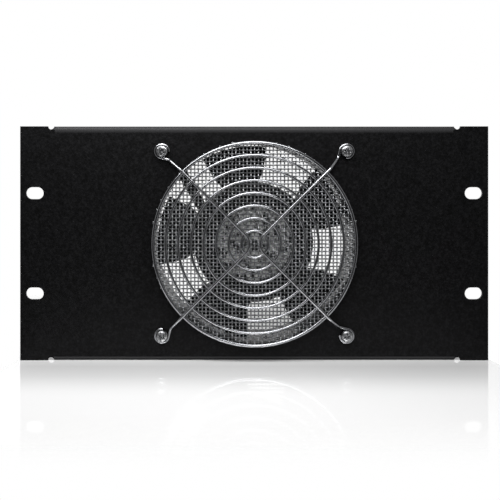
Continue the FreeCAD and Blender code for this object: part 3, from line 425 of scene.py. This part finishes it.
def makeSpoke(name, corners):
    g = guardShape
    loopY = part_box("guard_spoke_left")[1].y - g["spokeWire"]
    screw = g["bolt"] * math.sqrt(2)
    join, loose = math.radians(g["join"]), math.radians(g["open"])

    def local(angle, u, v, y):
        # a point u along the leg that points this way and v beside it
        turn = math.radians(angle)
        across = u * math.cos(turn) - v * math.sin(turn)
        up = u * math.sin(turn) + v * math.cos(turn)
        return Vector((across, y, up))

    def loopRun(angle):
        # from the open end round to the leg
        steps = g["loopSteps"]
        run = []
        for step in range(steps + 1):
            phi = loose + (join - loose) * step / steps
            run.append(local(angle, screw + g["loop"] * math.cos(phi), g["loop"] * math.sin(phi), loopY))
        return run

    def legRun(angle):
        touch = (screw + g["loop"] * math.cos(join), g["loop"] * math.sin(join))
        foot = (touch[0] - g["lead"] * math.sin(join), touch[1] + g["lead"] * math.cos(join))
        rise = local(angle, g["straight"], 0, spokeY)
        return [local(angle, *touch, loopY), local(angle, *foot, loopY), rise]

    first, second = corners
    points = legRun(first) + [Vector((0, spokeY, 0))] + legRun(second)[::-1]
    run = roundedRun(points, [g["bend"], g["bend"], g["fillet"], g["bend"], g["bend"]])
    path = loopRun(first)[:-1] + run + loopRun(second)[::-1][1:]
    spoke = makeWire(name, path, g["spokeWire"])
    return finishPiece(spoke, "root", chromePlate)


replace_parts(makeSpoke("guardSpokeLeft", (135, 225)), "guard_spoke_left")
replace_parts(makeSpoke("guardSpokeRight", (315, 45)), "guard_spoke_right")
print("finger guard done")


# woven screen: plain weave, each wire passes over one and under the next

screenShape = {
    "pitch": 0.002117, "sides": 6,
    "wire": 0.00042,                        # radius, drawn 0.12 mm over the real one so that it shows
    "perPitch": 4, "firstCuts": 4,          # steps along a wire in each pitch, cuts of the first round
    "jag": (0.0004, 0.0012),                # how much shorter than the round edge a wire is cut
    "stray": 0.0001,                        # how far a wire strays from its even place
}


def weaveWire(length, offset, parity, upright, middleY):
    s = screenShape
    turn = (0, 0, 0) if upright else (0, math.pi / 2, 0)
    place = (offset, middleY, 0) if upright else (0, middleY, offset)
    deselectAll()
    bpy.ops.mesh.primitive_cylinder_add(vertices=s["sides"], radius=s["wire"], depth=length,
                                        location=place, rotation=turn)
    wire = placeInMesh(bpy.context.object)
    axis = 2 if upright else 0

    def runsAlong(edge):
        start, end = (wire.data.vertices[index].co[axis] for index in edge.vertices)
        return abs(start - end) > 1e-6

    steps = length / s["pitch"] * s["perPitch"]
    for cuts in (s["firstCuts"], max(1, round(steps / (s["firstCuts"] + 1)) - 1)):
        selectPart(wire, "EDGE", runsAlong)
        bpy.ops.mesh.subdivide(number_cuts=cuts)
        doneEditing()
    sign = 1 if upright else -1
    for vert in wire.data.vertices:
        phase = math.pi * vert.co[axis] / s["pitch"]
        vert.co.y += sign * s["wire"] * math.cos(phase + math.pi * parity)
    return wire


def makeScreen(name, node, upright, seed):
    low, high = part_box(node)
    warpLow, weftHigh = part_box("screen_warp_wires")[0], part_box("screen_weft_wires")[1]
    middleY = (warpLow.y + weftHigh.y) / 2
    radius = (high.z - low.z if upright else high.x - low.x) / 2
    chance = random.Random(seed)
    steps = int(radius / screenShape["pitch"])
    wires = []
    for step in range(-steps, steps + 1):
        offset = step * screenShape["pitch"] + chance.uniform(-1, 1) * screenShape["stray"]
        half = math.sqrt(radius ** 2 - offset ** 2) - chance.uniform(*screenShape["jag"])
        wires.append(weaveWire(2 * half, offset, step, upright, middleY))
    screen = joinAll(name, wires)
    pick(screen)
    bpy.ops.object.shade_smooth()
    return finishPiece(screen, "root", galvanised, [node])


makeScreen("wovenScreenWarp", "screen_warp_wires", True, 3)
makeScreen("wovenScreenWeft", "screen_weft_wires", False, 5)
print("woven screen done")


# pan-head screws

screwShape = {
    "head": 0.0034, "height": 0.0025, "rim": 0.0009, "shank": 0.002, "chamfer": 0.0005,
    "skirt": 0.15, "seat": 0.96,            # the head draws in over this share of its rim, to this share
    "flatness": (0.55, 1.25), "crownStep": 15, "crownFlat": 0.0006, "sides": 40,
    "recessSpan": 0.0044, "recessArm": 0.0012, "recessDepth": 0.0021, "recessTaper": (0.35, 0.6),
    "recessAbove": 0.0004, "edge": 0.00006, "sharp": 40,
    "turns": (12, 57, 31, 78),              # each screw stopped at another angle
}


def turnOut(name, profile, sides):
    # a solid turned about Y: a disc is extruded and scaled through (radius, depth) pairs
    deselectAll()
    radius, depth = profile[0]
    bpy.ops.mesh.primitive_circle_add(vertices=sides, radius=radius, fill_type="NGON",
                                      location=(0, depth, 0), rotation=(math.pi / 2, 0, 0))
    piece = placeInMesh(bpy.context.object)
    bpy.ops.object.mode_set(mode="EDIT")
    bpy.ops.mesh.select_mode(type="FACE")
    bpy.ops.mesh.select_all(action="SELECT")
    for (before, was), (after, now) in zip(profile, profile[1:]):
        bpy.ops.mesh.extrude_region_move(TRANSFORM_OT_translate={"value": (0, now - was, 0)})
        ratio = after / before
        bpy.ops.transform.resize(value=(ratio, 1, ratio), center_override=(0, now, 0))
    bpy.ops.mesh.select_all(action="SELECT")
    bpy.ops.mesh.normals_make_consistent(inside=False)
    doneEditing()
    piece.name = name
    return piece


def makeScrews():
    s = screwShape
    low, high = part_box("guard_screws")
    crown = low.y
    seat = crown + s["height"]
    spread, sink = s["flatness"]
    profile = []
    for degrees in range(0, 91, s["crownStep"]):
        angle = math.radians(degrees)
        reach = s["head"] * math.sin(angle) ** spread
        drop = (s["height"] - s["rim"]) * (1 - math.cos(angle)) ** sink
        profile.append((max(s["crownFlat"], reach), crown + drop))
    profile += [(s["head"], seat - s["rim"] * s["skirt"]), (s["head"] * s["seat"], seat),
                (s["shank"], seat), (s["shank"], high.y - s["chamfer"]),
                (s["shank"] - s["chamfer"], high.y)]
    screw = turnOut("panHeadScrew", profile, s["sides"])
    bottom = crown + s["recessDepth"]
    along, across = s["recessTaper"]
    for turn in (0, math.pi / 2):
        # one arm of the cross, narrower at its bottom
        deselectAll()
        bpy.ops.mesh.primitive_cube_add(size=1, location=(0, (crown + bottom) / 2, 0))
        cutter = bpy.context.object
        cutter.scale = (s["recessSpan"], s["recessDepth"], s["recessArm"])
        placeInMesh(cutter)
        for vert in cutter.data.vertices:
            if abs(vert.co.y - bottom) < 1e-5:
                vert.co.x *= along
                vert.co.z *= across
            else:
                vert.co.y -= s["recessAbove"]
        cutter.rotation_euler = (0, turn, 0)
        placeInMesh(cutter)
        useModifier(screw, "BOOLEAN", object=cutter, operation="DIFFERENCE", solver="EXACT")
        bpy.data.objects.remove(cutter)
    useModifier(screw, "BEVEL", width=s["edge"], segments=2, limit_method="ANGLE",
                angle_limit=math.radians(s["sharp"]))
    smoothByAngle(screw, s["sharp"])
    bolt = guardShape["bolt"]
    copies = []
    for turn, (x, z) in zip(s["turns"], ((bolt, bolt), (-bolt, bolt), (-bolt, -bolt), (bolt, -bolt))):
        copy = screw.copy()
        copy.data = screw.data.copy()
        bpy.context.scene.collection.objects.link(copy)
        copy.location = (x, 0, z)
        copy.rotation_euler = (0, math.radians(turn), 0)
        copies.append(placeInMesh(copy))
    bpy.data.objects.remove(screw)
    joined = joinAll("guardScrews", copies)
    return finishPiece(joined, "root", zincPlate, ["guard_screws"])


makeScrews()
print("screws done")


# pieces whose solids have the right shape: broken edges and smooth rounds are added

bladeShape = {
    "count": 5, "turn": 29.0,               # the first blade's middle, in degrees
    "widen": 1.2,                           # a blade's width beside that of its solid
    "root": 0.0345, "full": 0.041,          # radii where the widening begins and is full
}


def fanOutBlades(piece):
    # past the hub each point turns away from the middle of its own blade
    b = bladeShape
    sector = math.tau / b["count"]
    for vert in piece.data.vertices:
        reach = math.hypot(vert.co.x, vert.co.z)
        angle = math.atan2(vert.co.z, vert.co.x)
        share = min(1.0, max(0.0, (reach - b["root"]) / (b["full"] - b["root"])))
        off = (angle - math.radians(b["turn"]) + sector / 2) % sector - sector / 2
        angle += share * off * (b["widen"] - 1)
        vert.co.x, vert.co.z = reach * math.cos(angle), reach * math.sin(angle)


dressShape = {"edgeSteps": 2, "sharp": 38, "smooth": 34}


def dressNode(name, node, body, material, edge, reshape=None):
    # edge: width of the broken edges, or 0 for none
    piece = copyNode(name, node)
    if reshape:
        reshape(piece)
    if edge:
        useModifier(piece, "BEVEL", width=edge, segments=dressShape["edgeSteps"], limit_method="ANGLE",
                    angle_limit=math.radians(dressShape["sharp"]), use_clamp_overlap=True)
    levelNormals(piece, dressShape["smooth"])
    return finishPiece(piece, body, material, [node])


dressNode("fanFrame", "fan_frame", "root", enamel, 0.00035)
dressNode("fanImpeller", "impeller", "rotor", nylonBlack, 0, reshape=fanOutBlades)
dressNode("guardNuts", "guard_nuts", "root", zincPlate, 0.00025)
dressNode("springWashers", "spring_washers", "root", zincPlate, 0.0001)
dressNode("rotorCup", "rotor_cup", "rotor", drawnSteel, 0)
dressNode("terminalBlock", "terminal_block", "root", nylonBlack, 0.0004)
dressNode("terminalTabs", "terminal_tabs", "root", tinPlate, 0.0001)
dressNode("motorLeads", "motor_leads", "root", leadJacket, 0)
dressNode("rotorBadge", "rotor_badge", "rotor", scuffedFoil, 0.00005)
dressNode("rearLabel", "rear_label", "root", cleanFoil, 0.00005)
print("frame, impeller and fittings dressed")

# the pieces inside keep their solids' shapes
hidden = {
    "bearing_tube": turnedBrass, "front_outer_race": bearingSteel, "front_inner_race": bearingSteel,
    "front_bearing_balls": bearingSteel, "front_ball_cage": turnedBrass, "rear_outer_race": bearingSteel,
    "rear_inner_race": bearingSteel, "rear_bearing_balls": bearingSteel, "rear_ball_cage": turnedBrass,
    "preload_washer": bearingSteel, "stator_core": laminations, "stator_insulators": nylonNatural,
    "stator_coils": copperEnamel, "rotor_core": laminations, "rotor_cage": castAluminium,
    "motor_shaft": bearingSteel, "thrust_washers": nylonNatural, "retaining_clip": bearingSteel,
}
for node, material in hidden.items():
    nodes[node].data.materials.clear()
    nodes[node].data.materials.append(material)
print("inner pieces coloured")


# floor, backdrop and light

stageShape = {
    "low": (-0.3, -0.17), "high": (0.3, 0.25), "colour": 1.0, "roughness": 0.03,
    "fade": 0.084,                          # distance over which the mirroring falls to its least
    "sideFade": (0.0015, 0.24),             # width of the fade beside the object, its growth with depth
    "endFade": 0.07,                        # length of the fade at the sheet's front and back
    # share that the sheet mirrors: (nearness to the object, share)
    "mirror": ((0.0, 0.1), (0.113, 0.1), (0.217, 0.12), (0.324, 0.17), (0.437, 0.236), (0.556, 0.31),
               (0.68, 0.353), (0.812, 0.383), (0.949, 0.28), (1.0, 0.16)),
}


def makeFloor():
    s = stageShape
    low, high = cadBounds
    (left, front), (right, back) = s["low"], s["high"]
    deselectAll()
    bpy.ops.mesh.primitive_plane_add(size=1, location=((left + right) / 2, (front + back) / 2, low[2]))
    floor = bpy.context.object
    floor.scale = (right - left, back - front, 1)
    placeInMesh(floor)
    floor.name = "floor"
    material, tree = newMaterial("glossWhiteAcrylicSheet")
    place = addNode(tree, "ShaderNodeTexCoord")
    spot = addNode(tree, "ShaderNodeSeparateXYZ", {"Vector": (place, "Object")})
    # distance from the object's outline on the floor: what the sheet mirrors fades with it
    inFront = addNode(tree, "ShaderNodeMath", {0: 0.0, 1: (spot, "Y")}, operation="SUBTRACT")
    behind = addNode(tree, "ShaderNodeMath", {0: (spot, "Y"), 1: high[1]}, operation="SUBTRACT")
    aside = addNode(tree, "ShaderNodeMath", {0: (spot, "X")}, operation="ABSOLUTE")
    beside = addNode(tree, "ShaderNodeMath", {0: aside, 1: high[0]}, operation="SUBTRACT")
    ahead = addNode(tree, "ShaderNodeMath", {0: inFront, 1: behind}, operation="MAXIMUM")
    away = addNode(tree, "ShaderNodeMath", {0: ahead, 1: beside}, operation="MAXIMUM")
    near = addNode(tree, "ShaderNodeMapRange", {
        "Value": away, "From Max": s["fade"], "To Min": 1.0, "To Max": 0.0})
    share = setRamp(addNode(tree, "ShaderNodeValToRGB", {"Fac": near}), s["mirror"])
    tone = s["colour"]
    matte = addNode(tree, "ShaderNodeBsdfDiffuse", {"Color": (tone, tone, tone, 1)})
    mirror = addNode(tree, "ShaderNodeBsdfGlossy", {"Color": (1, 1, 1, 1), "Roughness": s["roughness"]})
    gloss = addNode(tree, "ShaderNodeMixShader", {"Fac": share, 1: matte, 2: mirror})
    # the sheet fades into the white behind it: soon beside the object, slowly in front and behind
    least, growth = s["sideFade"]
    depth = addNode(tree, "ShaderNodeMath", {0: (spot, "Y")}, operation="ABSOLUTE")
    width = addNode(tree, "ShaderNodeMath", {0: depth, 1: growth, 2: least}, operation="MULTIPLY_ADD")
    sideGone = addNode(tree, "ShaderNodeMath", {0: beside, 1: width}, operation="DIVIDE")
    frontGone = addNode(tree, "ShaderNodeMapRange", {
        "Value": (spot, "Y"), "From Min": front + s["endFade"], "From Max": front})
    backGone = addNode(tree, "ShaderNodeMapRange", {
        "Value": (spot, "Y"), "From Min": back - s["endFade"], "From Max": back})
    endGone = addNode(tree, "ShaderNodeMath", {0: frontGone, 1: backGone}, operation="MAXIMUM")
    gone = addNode(tree, "ShaderNodeMath", {0: sideGone, 1: endGone}, operation="MAXIMUM")
    soft = addNode(tree, "ShaderNodeMapRange", {"Value": gone}, interpolation_type="SMOOTHSTEP")
    clear = addNode(tree, "ShaderNodeBsdfTransparent")
    sheet = addNode(tree, "ShaderNodeMixShader", {"Fac": soft, 1: gloss, 2: clear})
    addNode(tree, "ShaderNodeOutputMaterial", {"Surface": sheet})
    floor.data.materials.append(material)


worldShape = {
    # level of the light from each side, and the span of directions over which it changes
    "front": (0.05, 0.42), "frontSpan": (-0.72, -0.4),
    "behind": (0.0, 0.8), "behindSpan": (0.3, 0.75),
    "overhead": (0.0, 0.5), "overheadSpan": (0.5, 0.95),
}


def makeWorld():
    world = bpy.data.worlds.new("studio")
    bpy.context.scene.world = world
    world.use_nodes = True
    tree = world.node_tree
    tree.nodes.clear()
    place = addNode(tree, "ShaderNodeTexCoord")
    toward = addNode(tree, "ShaderNodeSeparateXYZ", {"Vector": (place, "Generated")})

    def glowFrom(side, axis):
        (start, end), (least, most) = worldShape[side + "Span"], worldShape[side]
        return addNode(tree, "ShaderNodeMapRange", {
            "Value": (toward, axis), "From Min": start, "From Max": end, "To Min": least, "To Max": most,
        }, interpolation_type="SMOOTHSTEP")

    # the studio is dark where the camera stands, grey at the sides, bright overhead and behind
    around, behind, overhead = glowFrom("front", "Y"), glowFrom("behind", "Y"), glowFrom("overhead", "Z")
    upright = addNode(tree, "ShaderNodeMath", {0: around, 1: behind}, operation="MAXIMUM")
    level = addNode(tree, "ShaderNodeMath", {0: upright, 1: overhead}, operation="MAXIMUM")
    # plain white to the camera, and behind the object to metal and glass too
    path = addNode(tree, "ShaderNodeLightPath")
    shown = addNode(tree, "ShaderNodeMath", {
        0: (path, "Is Glossy Ray"), 1: (path, "Is Transmission Ray")}, operation="MAXIMUM")
    part = addNode(tree, "ShaderNodeMath", {0: behind, 1: worldShape["behind"][1]}, operation="DIVIDE")
    white = addNode(tree, "ShaderNodeMath", {0: shown, 1: part}, operation="MULTIPLY")
    lit = addNode(tree, "ShaderNodeMath", {0: level, 1: white}, operation="MAXIMUM")
    seen = addNode(tree, "ShaderNodeMath", {0: lit, 1: (path, "Is Camera Ray")}, operation="MAXIMUM")
    glow = addNode(tree, "ShaderNodeBackground", {"Color": (1, 1, 1, 1), "Strength": seen})
    addNode(tree, "ShaderNodeOutputWorld", {"Surface": glow})


lampShapes = {
    # a large soft box in front and above, and a slim strip close over the panel
    "keyBox": {"place": (-0.08, -0.98, 0.66), "target": (0, 0, 0), "size": (0.5, 0.3), "power": 5.5},
    "topStrip": {"place": (-0.05, -0.085, 0.17), "target": (-0.02, 0, 0.03), "size": (0.3, 0.04),
                 "power": 0.42},
}


def makeLamp(name, place, target, size, power):
    lamp = bpy.data.lights.new(name, "AREA")
    lamp.shape = "RECTANGLE"
    lamp.size, lamp.size_y = size
    lamp.energy = power
    holder = bpy.data.objects.new(name, lamp)
    bpy.context.scene.collection.objects.link(holder)
    holder.location = place
    holder.rotation_euler = (Vector(target) - Vector(place)).to_track_quat("-Z", "Y").to_euler()


cameraShape = {
    "distance": 0.45, "widthAtPanel": 0.2849, "sensor": 36.0,
    "middle": (-0.0024, -0.0038),           # the point of the panel's plane in the middle of the view
    "eye": (-0.0228, 0.0427),               # how far the eye stands from that, across and up
}


def makeCamera():
    # the eye stands to the upper left of the panel and looks square at its plane
    c = cameraShape
    camera = bpy.data.cameras.new("camera")
    camera.sensor_width = c["sensor"]
    camera.lens = c["sensor"] * c["distance"] / c["widthAtPanel"]
    camera.shift_x, camera.shift_y = [-offset / c["widthAtPanel"] for offset in c["eye"]]
    holder = bpy.data.objects.new("camera", camera)
    bpy.context.scene.collection.objects.link(holder)
    across, up = [c["middle"][i] + c["eye"][i] for i in (0, 1)]
    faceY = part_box("front_panel")[0].y
    holder.location = (across, faceY - c["distance"], up)
    holder.rotation_euler = (math.pi / 2, 0, 0)
    bpy.context.scene.camera = holder


makeFloor()
makeWorld()
for name, lamp in lampShapes.items():
    makeLamp(name, **lamp)
makeCamera()
bpy.context.scene.view_settings.view_transform = "Standard"
print("stage, light and camera set")
